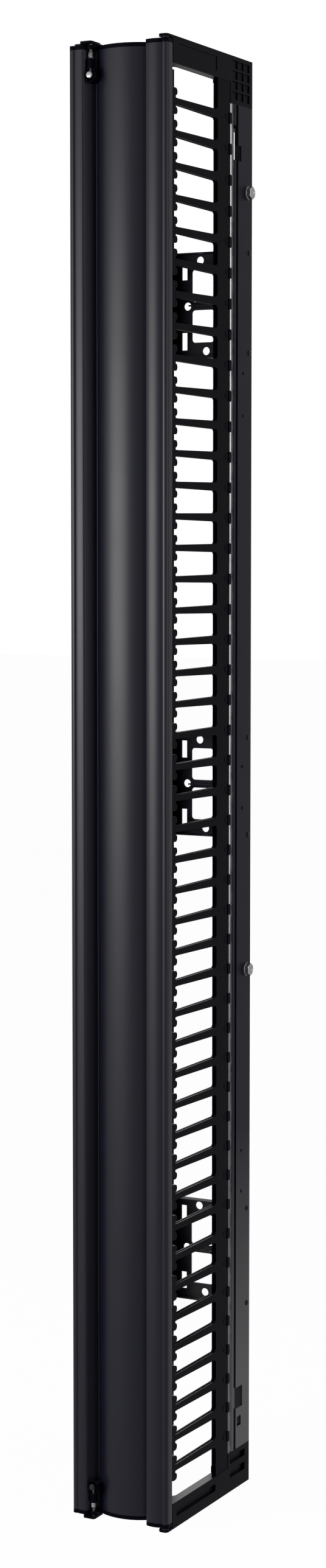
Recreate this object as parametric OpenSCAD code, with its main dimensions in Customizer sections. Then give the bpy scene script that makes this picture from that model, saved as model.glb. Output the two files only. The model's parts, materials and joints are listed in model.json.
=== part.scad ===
// Vertical cable manager: two uprights, finger strips on both sides, end frames and a hinged front door.
// Millimetres. Z is up, the door faces -Y, and the origin is the centre of the footprint on the floor.

/* [Overall size] */
// Height over the end frames
body_h = 2134; // [2130:1:2300]
// Width across the sides
body_w = 158; // [154:1:190]
// Depth from the face of the door to the screw heads at the back
body_d = 270; // [264:1:320]

/* [End frames] */
// Height of the top frame along the sides
top_cap_h = 38; // [34:1:60]
// Height of the top frame over the uprights
top_cap_rear_h = 68; // [60:1:90]
// Height of the bottom frame along the sides
bottom_cap_h = 38; // [34:1:60]
// Height of the bottom frame over the uprights
bottom_cap_rear_h = 61; // [50:1:90]
// Depth at which the end frames start behind the door
cap_front = 28; // [27:0.5:34]
// Depth of the end frames' front bar
cap_bar_d = 20; // [14:1:30]
// Width of the end frames' side bars
cap_bar_w = 14; // [10:0.5:20]
// Height of the tenon that plugs into an upright
tenon_h = 34; // [26:1:50]
// Thickness of the ears that carry the door
ear_t = 3.5; // [3:0.1:5]
// Radius of the floor anchor holes
anchor_r = 5.5; // [4:0.1:6]

/* [Uprights] */
// Sheet thickness of the uprights and brackets
sheet_t = 2; // [1.5:0.1:2.5]
// Depth of the uprights from their bullnose to the back
rail_d = 71; // [68:1:80]
// How far the upright's flanges reach in from the side
rail_flange = 28; // [26:1:30]
// Outside radius of the bullnose
nose_r = 14; // [10:1:15]
// Width of the rolled groove beside the bullnose
groove_w = 7; // [5:0.5:9]
// Depth of the rolled groove
groove_d = 2; // [1:0.5:3]
// Radius of the rack mounting holes in the back flange
rack_hole_r = 5.5; // [4:0.1:6]

/* [Cross brackets] */
// Height of a cross bracket
bracket_h = 156; // [150:1:170]
// Distance of the upper and lower brackets from mid height, as a share of the height
bracket_share = 0.3355; // [0.3:0.0005:0.34]
// Half width of the windows in a bracket
bracket_window_half = 18.5; // [14:0.5:22]
// Depth of the bent edges of a bracket
bracket_lip = 14; // [8:1:18]

/* [Finger strips] */
// Distance between fingers, one rack unit
finger_pitch = 44.45; // [44:0.05:44.6]
// Thickness of a finger across the strip
finger_w = 7; // [5:0.1:9]
// Half height of a finger at its tip
finger_tip_h = 4.4; // [3.5:0.1:5]
// Half height of a finger at its root
finger_root_h = 6; // [5:0.1:7]
// Depth at which the T heads start
head_front = 18.2; // [18:0.1:20]
// Gap between two T heads
head_gap = 8; // [6:0.5:12]
// Depth of a T head's bar
head_bar = 9; // [7:0.5:11]
// Radius of the lobes on a T head
lobe_r = 5.2; // [4:0.1:6]
// Width of the strip's spine along the depth
spine_d = 40; // [34:1:44]
// Thickness of a finger's two side walls
finger_wall = 2; // [1.6:0.1:2.4]
// Thickness of the mounting foot of a strip
foot_t = 4; // [3:0.5:6]
// Distance between the cross ribs on a finger
rib_pitch = 16; // [10:1:30]
// Thickness of the cross ribs
rib_t = 1.6; // [1:0.1:2.4]
// Radius of the round bosses at the finger roots
boss_r = 4; // [3:0.1:5]
// How far the lugs at the finger roots reach round the bullnose
lug_reach = 3.5; // [2:0.5:6]
// Height of a lug
lug_h = 16; // [10:1:32]

/* [Door] */
// Wall thickness of the door panel
door_t = 2.5; // [2:0.1:3]
// Radius of the door's edge beads
bead_r = 5.5; // [5.2:0.1:6]
// Depth of the door's side returns
return_d = 16; // [13:0.5:16]
// Width of the left flange, to the corner at its groove
flange_left = 20.6; // [18:0.1:22]
// Width of the right flange, to the corner at its groove
flange_right = 32.2; // [29:0.1:34]
// Depth of the bulge's crown behind the face of the door
bulge_back = 9; // [7:0.5:10]
// Radius at the bottom of the grooves
valley_r = 1; // [0.8:0.1:2]
// Depth of the grooves behind the face of the door
groove_depth = 21.5; // [20:0.5:22]
// Slope of the groove walls
wall_a = 65; // [60:1:68]
// Radius where a groove meets a flange
shoulder_r = 4; // [3.5:0.5:5]
// Radius of the crowned flanges
crown_r = 30; // [26:1:60]
// Gap between the ends of the door and the ears
door_end_gap = 2; // [1.8:0.1:3]
// Thickness of the door's end pieces
door_cap_t = 6; // [5:0.5:8]
// Length of the plate behind the joint of the panels
splice_h = 80; // [60:1:120]
// How far the door opens
door_open = 115; // [90:1:115]

/* [Hinge and latch] */
// Radius of the hinge pins
hinge_pin_r = 2.5; // [2:0.1:2.6]
// Outside radius of the hinge bushes
bush_r = 3.9; // [3.6:0.1:4]
// Distance of the latch pins from the left side
latch_in = 32; // [31:0.5:33]
// Depth of the latch pins behind the face of the door
latch_y = 8; // [7.5:0.5:9]
// Radius of the latch pins
latch_pin_r = 2.5; // [2:0.1:2.6]
// Distance of the knobs from the ends of the object
knob_from_end = 47; // [44:1:56]
// Radius of the knobs
knob_r = 4.5; // [4:0.1:4.8]
// Radius of the round recess for a knob
recess_r = 9; // [8.8:0.1:9.4]
// Travel of the latch pins
latch_travel = 3.8; // [3:0.1:4]
// Radius of the boss that guides a latch pin
latch_guide_r = 4.8; // [4.4:0.1:5]

/* [Fasteners] */
// How far the lower mounting bolts lie below mid height, as a share of the height
bolt_lower_share = 0.1293; // [0.12:0.0001:0.14]
// How far the upper mounting bolts lie above mid height, as a share of the height
bolt_upper_share = 0.4105; // [0.4:0.0001:0.42]
// Radius of the mounting bolts
bolt_r = 5; // [4:0.5:5]
// Hexagon of the mounting bolts across the flats
bolt_flats = 17; // [15:1:17]
// Height of the heads of the small screws
screw_head_h = 1.8; // [1.2:0.1:2.2]
// Radius of the small screws
screw_r = 2; // [1.6:0.1:2.2]

/* [Hidden] */
$fn = 48;

black = [0.11, 0.11, 0.12];
soft_black = [0.07, 0.07, 0.08];
steel = [0.72, 0.72, 0.70];
nylon = [0.12, 0.12, 0.12];

eps = 0.01;                 // overlap of cuts past a face
run_clear = 0.05;           // radial running clearance of pins in bores
seat_clear = 0.2;           // clearance of a piece that plugs into another
near_clear = 0.15;          // clearance of a curved seat
hole_clear = 0.1;           // radial clearance round a fixed screw

half_w = body_w / 2;
mid_z = body_h / 2;
rail_back = body_d - screw_head_h;
rail_front = rail_back - rail_d;
rail_z0 = bottom_cap_rear_h;
rail_z1 = body_h - top_cap_rear_h;
rail_inner = half_w - rail_flange;

strip_rows = 3;             // finger strips above each other on a side
fingers_per_strip = floor((body_h - top_cap_h - bottom_cap_h) / (strip_rows * finger_pitch));
strip_len = fingers_per_strip * finger_pitch;
finger_x1 = half_w - 0.5;
finger_x0 = finger_x1 - finger_w;
spine_y0 = rail_front - spine_d;
head_half = (finger_pitch - head_gap) / 2;
web_drop = 2.4;             // how far a finger's web lies below its side walls
lug_proud = 0.6;             // how far the lugs stand out from the uprights' sides
lug_low = 1;                // how far the middle of a lug lies below its finger
rib_drop = 0.6;             // how far the cross ribs lie below the side walls
root_fillet = 5;
head_edge_r = 2.5;          // rounding of a T head's front corners

hinge_x = half_w - bead_r;
hinge_y = bead_r;
door_z0 = ear_t + door_end_gap;
door_z1 = body_h - door_z0;
panel_z0 = door_z0 + door_cap_t;
panel_z1 = door_z1 - door_cap_t;
knob_z = body_h - knob_from_end;
latch_x = latch_in - half_w;
latch_top = body_h - ear_t - 0.5;     // the pin's end, just clear of the ear
knob_stem_r = 1.5;

bolt_y = rail_back - sheet_t - bolt_flats / sqrt(3) - 1;
bolt_rows = [-bolt_lower_share * body_h, bolt_upper_share * body_h];
washer_t = 1.6;
bolt_head_h = 6;
bracket_zs = [for (s = [-1 : 1]) mid_z + s * bracket_share * body_h];
bracket_screw_y = rail_back - sheet_t - 6;
bracket_screw_z = bracket_h / 2 - 5;
flat_head_h = 1.4;          // height of the flat screw heads

// ---------------------------------------------------------------- helpers

// Depths are measured from the face of the door; this puts them on the row's axes.
module placed() {
    translate([0, -body_d / 2, 0]) children();
}

// The same thing upside down at the other end of the object.
module at_bottom() {
    translate([0, 0, body_h]) mirror([0, 0, 1]) children();
}

module on_left() {
    mirror([1, 0, 0]) children();
}

// A cylinder along the depth, from y0 to y1.
module rod_y(x, z, r, y0, y1) {
    translate([x, y0, z]) rotate([-90, 0, 0]) cylinder(r = r, h = y1 - y0);
}

// A cylinder across the width, from x0 to x1.
module rod_x(y, z, r, x0, x1) {
    translate([x0, y, z]) rotate([0, 90, 0]) cylinder(r = r, h = x1 - x0);
}

module box(low, high) {
    translate(low) cube(high - low);
}

function arc(c, r, a0, a1, steps) =
    [for (i = [0 : steps]) let (a = a0 + (a1 - a0) * i / steps) c + r * [cos(a), sin(a)]];

module rounded_plan(x0, y0, x1, y1, r) {
    translate([x0 + r, y0]) square([x1 - x0 - 2 * r, y1 - y0]);
    translate([x0, y0 + r]) square([x1 - x0, y1 - y0 - 2 * r]);
    for (x = [x0 + r, x1 - r], y = [y0 + r, y1 - r]) translate([x, y]) circle(r);
}

// ---------------------------------------------------------------- door section

valley_y = groove_depth - valley_r;
left_drop = 0.3;            // how far a shoulder lies behind the crown of its flange
right_drop = 1.5;
seam_x = half_w - 1.6 * bead_r;
seam_depth = 1.4;
seam_half = 0.6;

// Sideways run of a groove's straight wall, and of the wall with the curves at both its ends
function wall_run(drop) =
    (valley_y + valley_r * cos(wall_a) - drop - shoulder_r * (1 - cos(wall_a))) / tan(wall_a);
function groove_run(drop) = wall_run(drop) + (valley_r + shoulder_r) * sin(wall_a);

// The bulge fills what the flanges and the grooves leave of the width.
valley_dx = (body_w - flange_left - flange_right - groove_run(left_drop) - groove_run(right_drop)) / 2;
bulge_rise = valley_y - bulge_back;
bulge_r = (pow(valley_dx, 2) + pow(bulge_rise, 2) - pow(valley_r, 2)) / (2 * (valley_r + bulge_rise));
bulge_x = flange_left + groove_run(left_drop) + valley_dx - half_w;
bulge_c = [bulge_x, bulge_back + bulge_r];
valley_a = atan2(bulge_c[1] - valley_y, valley_dx);
valley_left = [bulge_x - valley_dx, valley_y];
valley_right = [bulge_x + valley_dx, valley_y];

function shoulder_dx(drop) = valley_dx + groove_run(drop);
function crown_dx(drop) = sqrt(pow(crown_r - shoulder_r, 2) - pow(crown_r - shoulder_r - drop, 2));

shoulder_left = [bulge_x - shoulder_dx(left_drop), left_drop + shoulder_r];
shoulder_right = [bulge_x + shoulder_dx(right_drop), right_drop + shoulder_r];
crown_left = [shoulder_left[0] - crown_dx(left_drop), crown_r];
crown_right = [shoulder_right[0] + crown_dx(right_drop), crown_r];
tangent_left = asin(crown_dx(left_drop) / (crown_r - shoulder_r));
tangent_right = asin(crown_dx(right_drop) / (crown_r - shoulder_r));
edge_left = asin((crown_left[0] + seam_x - seam_half) / crown_r);
edge_right = asin((seam_x - seam_half - crown_right[0]) / crown_r);

// One side of the door's wall from left to right; in is how far it lies behind the face.
function door_line(in) = concat(
    arc([-hinge_x, hinge_y], bead_r - in, 180, 300, 8),
    in > door_t / 2 ? [] : [[-seam_x, seam_depth - in]],
    arc(crown_left, crown_r - in, 270 - edge_left, 270 + tangent_left, 5),
    arc(shoulder_left, shoulder_r - in, 270 + tangent_left + 8, 270 + wall_a, 4),
    arc(valley_left, valley_r + in, 90 + wall_a, valley_a, 8),
    arc(bulge_c, bulge_r - in, 180 + valley_a, 360 - valley_a, 28),
    arc(valley_right, valley_r + in, 180 - valley_a, 90 - wall_a, 8),
    arc(shoulder_right, shoulder_r - in, 270 - wall_a, 262 - tangent_right, 4),
    arc(crown_right, crown_r - in, 270 - tangent_right, 270 + edge_right, 8),
    in > door_t / 2 ? [] : [[seam_x, seam_depth - in]],
    arc([hinge_x, hinge_y], bead_r - in, 240, 360, 8));

function reversed(list) = [for (i = [len(list) - 1 : -1 : 0]) list[i]];

module door_section() {
    polygon(concat([[-half_w, return_d]], door_line(0), [[half_w, return_d], [half_w - door_t, return_d]],
        reversed(door_line(door_t)), [[-half_w + door_t, return_d]]));
}

// Everything behind the door's face, for an end piece or to clear a seat.
module behind_door(clear, back) {
    polygon(concat([[-half_w - clear, back]], door_line(-clear), [[half_w + clear, back]]));
}

// ---------------------------------------------------------------- uprights

module rail_section() {
    nose_c = [half_w - nose_r, rail_front + nose_r];
    groove_y = rail_front + nose_r + 4;
    // front flange with its lip
    translate([rail_inner, rail_front]) square([nose_c[0] - rail_inner, sheet_t]);
    translate([rail_inner, rail_front]) square([sheet_t, 12]);
    // bullnose
    translate(nose_c) intersection() {
        difference() {
            circle(nose_r);
            circle(nose_r - sheet_t);
        }
        translate([0, -nose_r]) square(nose_r);
    }
    // side with the rolled groove
    translate([half_w - sheet_t, nose_c[1]]) square([sheet_t, groove_y - nose_c[1]]);
    translate([half_w - sheet_t - groove_d, groove_y - sheet_t])
        square([sheet_t, groove_w + 2 * sheet_t]);
    for (y = [groove_y - sheet_t, groove_y + groove_w])
        translate([half_w - sheet_t - groove_d, y]) square([sheet_t + groove_d, sheet_t]);
    translate([half_w - sheet_t, groove_y + groove_w])
        square([sheet_t, rail_back - groove_y - groove_w]);
    // back flange
    translate([rail_inner, rail_back - sheet_t]) square([rail_flange, sheet_t]);
}

rack_hole_x = half_w - 15;
rack_rows_inner = floor(fingers_per_strip * 2 / 3) * finger_pitch;
rack_rows_outer = (strip_rows * fingers_per_strip - 7) / 2 * finger_pitch;
accessory_rows = 0.2723 * body_h;
accessory_half = 31;
accessory_r = 2.5;
cap_screw_z = 20;           // cap screws, from the end of the upright
strip_screw_x = rail_inner + 8;

function strip_screw_zs() = [for (s = [-1 : 1], i = [-1 : 1])
    mid_z + s * strip_len + i * (fingers_per_strip - 5) / 2 * finger_pitch + finger_pitch / 2];

module side_slot(y, z, w, h) {
    box([half_w - 3 * sheet_t, y - w / 2, z - h / 2], [half_w + eps, y + w / 2, z + h / 2]);
}

module rail() {
    slot_y = rail_back - 35;
    difference() {
        translate([0, 0, rail_z0]) linear_extrude(rail_z1 - rail_z0) rail_section();
        // bolts through the side
        for (z = bolt_rows) rod_x(bolt_y, mid_z + z, bolt_r + hole_clear, half_w - 3 * sheet_t, half_w + eps);
        // bracket screws
        for (b = bracket_zs, s = [-1, 1])
            rod_x(bracket_screw_y, b + s * bracket_screw_z, screw_r + hole_clear,
                half_w - 2 * sheet_t, half_w + eps);
        // accessory holes in the side
        for (r = [-1 : 1], s = [-1, 1])
            rod_x(slot_y + 6, mid_z + r * accessory_rows + s * accessory_half, accessory_r,
                half_w - 2 * sheet_t, half_w + eps);
        // rack mounting holes and cap screw holes in the back flange
        for (z = [-rack_rows_outer, -rack_rows_inner, rack_rows_inner, rack_rows_outer])
            rod_y(rack_hole_x, mid_z + z, rack_hole_r, rail_back - 2 * sheet_t, rail_back + eps);
        for (z = [rail_z0 + cap_screw_z, rail_z1 - cap_screw_z])
            rod_y(rack_hole_x, z, screw_r + hole_clear, rail_back - 2 * sheet_t, rail_back + eps);
        // strip screws
        for (z = strip_screw_zs())
            rod_y(strip_screw_x, z, screw_r + hole_clear, rail_front - eps, rail_front + 2 * sheet_t);
        // adjusting slots near both ends
        side_slot(slot_y, rail_z0 + 78, 22, 32);
        side_slot(slot_y, rail_z0 + 41, 13, 15);
        side_slot(rail_back - 54, rail_z1 - 44, 12, 28);
        side_slot(rail_back - 48, rail_z1 - 69, 24, 22);
    }
}

module rail_right() {
    color(black) placed() rail();
}

module rail_left() {
    color(black) placed() on_left() rail();
}

// ---------------------------------------------------------------- cross brackets

module cross_bracket(z) {
    half = half_w - sheet_t;
    plate_y1 = rail_back - sheet_t;
    plate_y0 = plate_y1 - sheet_t;
    bar = 6;                            // bars round the windows
    window_h = bracket_h / 2 - 5 * bar;
    win_z = window_h / 2 + bar;
    hole_r = 6;
    slot_half = 4.5;
    translate([0, 0, z]) difference() {
        union() {
            box([-half, plate_y0, -bracket_h / 2], [half, plate_y1, bracket_h / 2]);
            // bent top and bottom edges
            for (s = [-1, 1])
                translate([0, 0, s * (bracket_h - sheet_t) / 2])
                    box([3 * sheet_t - half, plate_y1 - bracket_lip, -sheet_t / 2],
                        [half - 3 * sheet_t, plate_y0 + eps, sheet_t / 2]);
            // shelf bent out of the bar between the windows
            box([-bracket_window_half, plate_y1 - bracket_lip, -sheet_t / 2],
                [bracket_window_half, plate_y0 + eps, sheet_t / 2]);
            // tabs against the sides of the uprights
            for (s = [-1, 1])
                translate([s * (half - sheet_t / 2), 0, 0])
                    box([-sheet_t / 2, plate_y1 - 15, -bracket_h / 2],
                        [sheet_t / 2, plate_y0 + eps, bracket_h / 2]);
        }
        for (s = [-1, 1]) {
            // windows with rounded corners
            translate([0, plate_y0 - eps, s * win_z]) rotate([-90, 0, 0])
                linear_extrude(sheet_t + 2 * eps)
                    rounded_plan(-bracket_window_half, -window_h / 2, bracket_window_half, window_h / 2, 5);
            // round holes in the top and bottom bars and at mid height
            rod_y(-s * 5, s * (bracket_h / 2 - 11), hole_r, plate_y0 - eps, plate_y1 + eps);
            rod_y(s * (bracket_window_half + 7.5), 0, hole_r, plate_y0 - eps, plate_y1 + eps);
            // upright slots beside the windows
            for (q = [-1, 1])
                translate([q * (bracket_window_half + 12.5), 0, s * bracket_h / 3])
                    box([-slot_half, plate_y0 - eps, -bracket_h / 12],
                        [slot_half, plate_y1 + eps, bracket_h / 12]);
            // screw holes in the tabs
            for (q = [-1, 1])
                rod_x(bracket_screw_y, q * bracket_screw_z, screw_r + hole_clear,
                    s * half - 2 * sheet_t, s * half + 2 * sheet_t);
        }
    }
}

module cross_bracket_upper() {
    color(black) placed() cross_bracket(bracket_zs[2]);
}

module cross_bracket_middle() {
    color(black) placed() cross_bracket(bracket_zs[1]);
}

module cross_bracket_lower() {
    color(black) placed() cross_bracket(bracket_zs[0]);
}

module bracket_screws() {
    color(soft_black) placed()
        for (m = [0, 1], b = bracket_zs, s = [-1, 1]) mirror([m, 0, 0]) {
            rod_x(bracket_screw_y, b + s * bracket_screw_z, screw_r, half_w - 8, half_w + eps);
            rod_x(bracket_screw_y, b + s * bracket_screw_z, 2 * screw_r, half_w, half_w + flat_head_h);
        }
}

// ---------------------------------------------------------------- end frames

anchor_x = half_w - 22;
anchor_wall = 3;            // wall round an anchor hole
anchor_front = cap_front + cap_bar_d / 2;
anchor_back = rail_front - 16;
anchor_foot_h = 6;
cap_step_x = half_w - 10;
cap_bar_x = half_w - cap_bar_w;
bar_relief = 5;             // how far the front bars stand back from the ends of the object
relief_x = anchor_x - 2 * anchor_r;

module cap_plan() {
    polygon([[-half_w, head_front], [-cap_step_x, head_front], [-cap_step_x, cap_front],
        [cap_step_x, cap_front], [cap_step_x, head_front], [half_w, head_front],
        [half_w, rail_back], [-half_w, rail_back]]);
}

module latch_ear_plan() {
    rounded_plan(latch_x - 15, 1, latch_x + 4.5, cap_front + 2, 4);
}

module hinge_ear_plan() {
    for (x = [hinge_x - 4, hinge_x]) translate([x, hinge_y]) circle(bead_r);
    translate([hinge_x - 4, 0]) square([4, hinge_y]);
    translate([hinge_x - 4 - bead_r, hinge_y]) square([4 + 2 * bead_r, cap_front + 2 - hinge_y]);
}

// Both frames as they stand at the bottom: foot on z = 0, height h, rear_h over the uprights.
// A frame is a front bar and two side bars, open to the back.
module end_frame(h, rear_h) {
    plug_x1 = half_w - sheet_t - groove_d - seat_clear;
    plug_x0 = plug_x1 - 17;
    plug_y0 = rail_front + nose_r + 2;
    plug_y1 = rail_back - sheet_t - seat_clear;
    open_y = cap_front + cap_bar_d;
    open_corner = 8;
    difference() {
        union() {
            linear_extrude(h) cap_plan();
            linear_extrude(ear_t) latch_ear_plan();
            linear_extrude(ear_t) hinge_ear_plan();
            for (s = [-1, 1]) {
                // block and tenon at the upright
                translate([s * (half_w - rail_flange / 2), 0, 0])
                    box([-rail_flange / 2, rail_front, ear_t], [rail_flange / 2, rail_back, rear_h]);
                translate([s * (plug_x0 + plug_x1) / 2, 0, 0])
                    box([(plug_x0 - plug_x1) / 2, plug_y0, ear_t],
                        [(plug_x1 - plug_x0) / 2, plug_y1, rear_h + tenon_h]);
            }
        }
        // cable opening, wider in front of the uprights and open to the back
        translate([0, 0, -eps]) linear_extrude(rear_h + tenon_h) {
            rounded_plan(-cap_bar_x, open_y, cap_bar_x, rail_front - 2, open_corner);
            rounded_plan(-rail_inner, open_y + 2 * open_corner, rail_inner,
                rail_back + 2 * open_corner, open_corner);
        }
        // the middle of the front bar stands back
        box([-relief_x, cap_front - eps, -eps], [relief_x, open_y + eps, bar_relief]);
        // pin holes in the ears
        translate([latch_x, latch_y, -eps]) cylinder(r = latch_pin_r + 0.3, h = ear_t + 2 * eps);
        translate([hinge_x, hinge_y, -eps]) cylinder(r = hinge_pin_r + 0.02, h = ear_t + 2 * eps);
        // screw holes in the tenons
        for (s = [-1, 1])
            rod_y(s * rack_hole_x, rear_h + cap_screw_z, screw_r + hole_clear, plug_y1 - 14, plug_y1 + eps);
    }
}

module side_pocket(y0, y1, z0, z1, deep) {
    for (s = [-1, 1])
        translate([s * half_w, 0, 0]) box([-deep, y0, z0], [deep, y1, z1]);
}

module top_cap() {
    rib = 3;
    cell_y = (rail_d - 16 - 2 * rib) / 3;
    cell_z = (top_cap_rear_h - 12 - 3 * rib) / 4;
    color(soft_black) placed() difference() {
        at_bottom() end_frame(top_cap_h, top_cap_rear_h);
        // waffle over the uprights
        for (i = [0 : 2], j = [0 : 3])
            side_pocket(rail_front + 6 + i * (cell_y + rib), rail_front + 6 + i * (cell_y + rib) + cell_y,
                rail_z1 + 6 + j * (cell_z + rib), rail_z1 + 6 + j * (cell_z + rib) + cell_z, 1.6);
        // shallow panel along the side
        side_pocket(head_front + 16, spine_y0 - 4, body_h - top_cap_h + 9, body_h - 9, 0.8);
    }
}

module bottom_cap() {
    color(soft_black) placed() difference() {
        union() {
            end_frame(bottom_cap_h, bottom_cap_rear_h);
            // feet for the rear floor anchors
            for (m = [0, 1]) mirror([m, 0, 0])
                box([anchor_x - anchor_r - anchor_wall, anchor_back - anchor_r - anchor_wall, 0],
                    [cap_bar_x + 1, rail_front, anchor_foot_h]);
        }
        // grooves along the side and over the uprights
        side_pocket(head_front + 12, spine_y0 - 2, 0.42 * bottom_cap_h, 0.71 * bottom_cap_h, 4);
        for (share = [[0.35, 0.54], [0.7, 0.88]])
            side_pocket(rail_front + 6, rail_back - 15, share[0] * bottom_cap_rear_h,
                share[1] * bottom_cap_rear_h, 4);
        // floor anchor holes
        for (x = [-anchor_x, anchor_x], y = [anchor_front, anchor_back])
            translate([x, y, -eps]) cylinder(r = anchor_r, h = bottom_cap_h + 2 * eps);
    }
}

module cap_screws() {
    color(soft_black) placed()
        for (s = [-1, 1], z = [rail_z0 + cap_screw_z, rail_z1 - cap_screw_z]) {
            rod_y(s * rack_hole_x, z, screw_r, rail_back - 12, rail_back + eps);
            rod_y(s * rack_hole_x, z, 2 * screw_r, rail_back, rail_back + screw_head_h);
        }
}

// ---------------------------------------------------------------- finger strips

// Half height of a finger at a depth, before its root fillet.
function finger_half(y) = finger_tip_h + (finger_root_h - finger_tip_h)
    * (y - head_front - head_bar) / (spine_y0 - head_front - head_bar);

rib_n = floor((spine_y0 - root_fillet - head_front - head_bar - lobe_r - 6) / rib_pitch);
function rib_y(i) = spine_y0 - root_fillet - 5 - i * rib_pitch;
function rib_corners(drop) =
    [[rib_t / 2, drop], [rib_t / 2, rib_drop], [-rib_t / 2, rib_drop], [-rib_t / 2, drop]];

// Upper edge of one finger from the spine to the front of its T head, seen from the side.
// The web lies below the side walls, with cross ribs standing on it.
function finger_edge(drop) = let (neck_y = head_front + head_bar) concat(
    [for (a = [0 : 30 : 90]) [spine_y0 - root_fillet * (1 - cos(a)),
        finger_half(spine_y0) - drop + root_fillet * (1 - sin(a))]],
    drop == 0 ? [] : [for (i = [0 : rib_n - 1], p = rib_corners(drop))
        [rib_y(i) + p[0], finger_half(rib_y(i)) - p[1]]],
    [[neck_y + lobe_r, finger_half(neck_y + lobe_r) - drop], [neck_y, finger_half(neck_y) + 0.5]],
    arc([neck_y, head_half - lobe_r], lobe_r, -90, 90, 7),
    arc([head_front + head_edge_r, head_half - head_edge_r], head_edge_r, 90, 180, 3));

// A comb seen from the side: its spine from z0 to z1 and a finger at each height in zs.
module comb(z0, z1, zs, drop) {
    polygon(concat([[rail_front, z0], [spine_y0, z0]],
        [for (z = zs) each concat([for (p = finger_edge(drop)) [p[0], z - p[1]]],
            [for (p = reversed(finger_edge(drop))) [p[0], z + p[1]]])],
        [[spine_y0, z1], [rail_front, z1]]));
}

// Stands a side view up: drawn in depth and height, thick from x0 to x1.
module sideways(x0, x1) {
    translate([x0, 0, 0]) rotate([90, 0, 90]) linear_extrude(x1 - x0) children();
}

// The lugs' section seen from above: hollow where it lies round the bullnose.
lug_root = 4;
lug_corner = 3;
module lug_plan() {
    difference() {
        translate([finger_x1 - lug_root, rail_front - lug_root])
            square([lug_root + half_w + lug_proud - finger_x1, lug_root + lug_reach]);
        translate([half_w - nose_r, rail_front + nose_r]) circle(nose_r + near_clear);
    }
}

module finger_strip(row, z0, z1) {
    zs = [for (i = [0 : fingers_per_strip - 1])
        mid_z + row * strip_len + (i - (fingers_per_strip - 1) / 2) * finger_pitch];
    difference() {
        union() {
            for (x = [finger_x0, finger_x1 - finger_wall])
                sideways(x, x + finger_wall) comb(z0, z1, zs, 0);
            sideways(finger_x0 + finger_wall / 2, finger_x1 - finger_wall / 2) comb(z0, z1, zs, web_drop);
            // mounting foot on the front flange of the upright
            box([rail_inner + 2, rail_front - foot_t, z0], [finger_x0 + 1, rail_front, z1]);
            // a round boss at the root of each finger
            for (z = zs) rod_x(rail_front - 11, z, boss_r, finger_x0 - 0.4, finger_x1 + 0.4);
            // lugs that reach round the upright's bullnose
            intersection() {
                translate([0, 0, z0]) linear_extrude(z1 - z0) lug_plan();
                sideways(half_w - nose_r, half_w + lug_proud) for (z = zs)
                    rounded_plan(rail_front - lug_root, z - lug_low - lug_h / 2,
                        rail_front + lug_reach, z - lug_low + lug_h / 2, lug_corner);
            }
        }
        for (z = strip_screw_zs())
            if (z > z0 && z < z1)
                rod_y(strip_screw_x, z, screw_r + hole_clear, rail_front - foot_t - eps, rail_front + eps);
        for (z = zs) rod_x(rail_front - 2.5, z, 1.4, finger_x1 - 4, finger_x1 + eps);
    }
}

module upper_strip() {
    finger_strip(1, mid_z + strip_len / 2, body_h - top_cap_h);
}

module middle_strip() {
    finger_strip(0, mid_z - strip_len / 2, mid_z + strip_len / 2);
}

module lower_strip() {
    finger_strip(-1, bottom_cap_h, mid_z - strip_len / 2);
}

module finger_strip_right_upper() {
    color(soft_black) placed() upper_strip();
}

module finger_strip_right_middle() {
    color(soft_black) placed() middle_strip();
}

module finger_strip_right_lower() {
    color(soft_black) placed() lower_strip();
}

module finger_strip_left_upper() {
    color(soft_black) placed() on_left() upper_strip();
}

module finger_strip_left_middle() {
    color(soft_black) placed() on_left() middle_strip();
}

module finger_strip_left_lower() {
    color(soft_black) placed() on_left() lower_strip();
}

module strip_screws() {
    color(steel) placed()
        for (m = [0, 1], z = strip_screw_zs()) mirror([m, 0, 0]) {
            rod_y(strip_screw_x, z, screw_r, rail_front - foot_t - eps, rail_front + 6);
            rod_y(strip_screw_x, z, 2 * screw_r, rail_front - foot_t - 1.6, rail_front - foot_t);
        }
}

// ---------------------------------------------------------------- mounting bolts

module hexagon(x0, x1) {
    translate([x0, bolt_y, 0]) rotate([0, 90, 0])
        cylinder(r = bolt_flats / sqrt(3), h = x1 - x0, $fn = 6);
}

module at_each_bolt() {
    for (m = [0, 1], z = bolt_rows) mirror([m, 0, 0]) translate([0, 0, mid_z + z]) children();
}

module mounting_bolts() {
    color(steel) placed() at_each_bolt() {
        rod_x(bolt_y, 0, bolt_r, half_w - 18, half_w + washer_t + eps);
        hexagon(half_w + washer_t, half_w + washer_t + bolt_head_h);
    }
}

module mounting_washers() {
    color(steel) placed() at_each_bolt() difference() {
        rod_x(bolt_y, 0, bolt_flats / 2 + 1.5, half_w, half_w + washer_t);
        rod_x(bolt_y, 0, bolt_r + hole_clear, half_w - eps, half_w + washer_t + eps);
    }
}

module mounting_nuts() {
    color(steel) placed() at_each_bolt() difference() {
        hexagon(half_w - sheet_t - 0.8 * 2 * bolt_r, half_w - sheet_t);
        rod_x(bolt_y, 0, bolt_r + 0.02, half_w - 18, half_w);
    }
}

// ---------------------------------------------------------------- door

module door_slab(z0, z1) {
    translate([0, 0, z0]) linear_extrude(z1 - z0) door_section();
}

// A curved plate behind the bulge, between two radii.
module bulge_plate(r0, r1, half_a) {
    polygon(concat(arc(bulge_c, r1, 270 - half_a, 270 + half_a, 16),
        arc(bulge_c, r0, 270 + half_a, 270 - half_a, 16)));
}

// A cylinder pointing straight out of the bulge, from radius r0 to r1.
module bulge_rod(a, z, r, r0, r1) {
    translate([bulge_c[0], bulge_c[1], z]) rotate([0, 0, a]) rod_y(0, 0, r, -r1, -r0);
}

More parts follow.
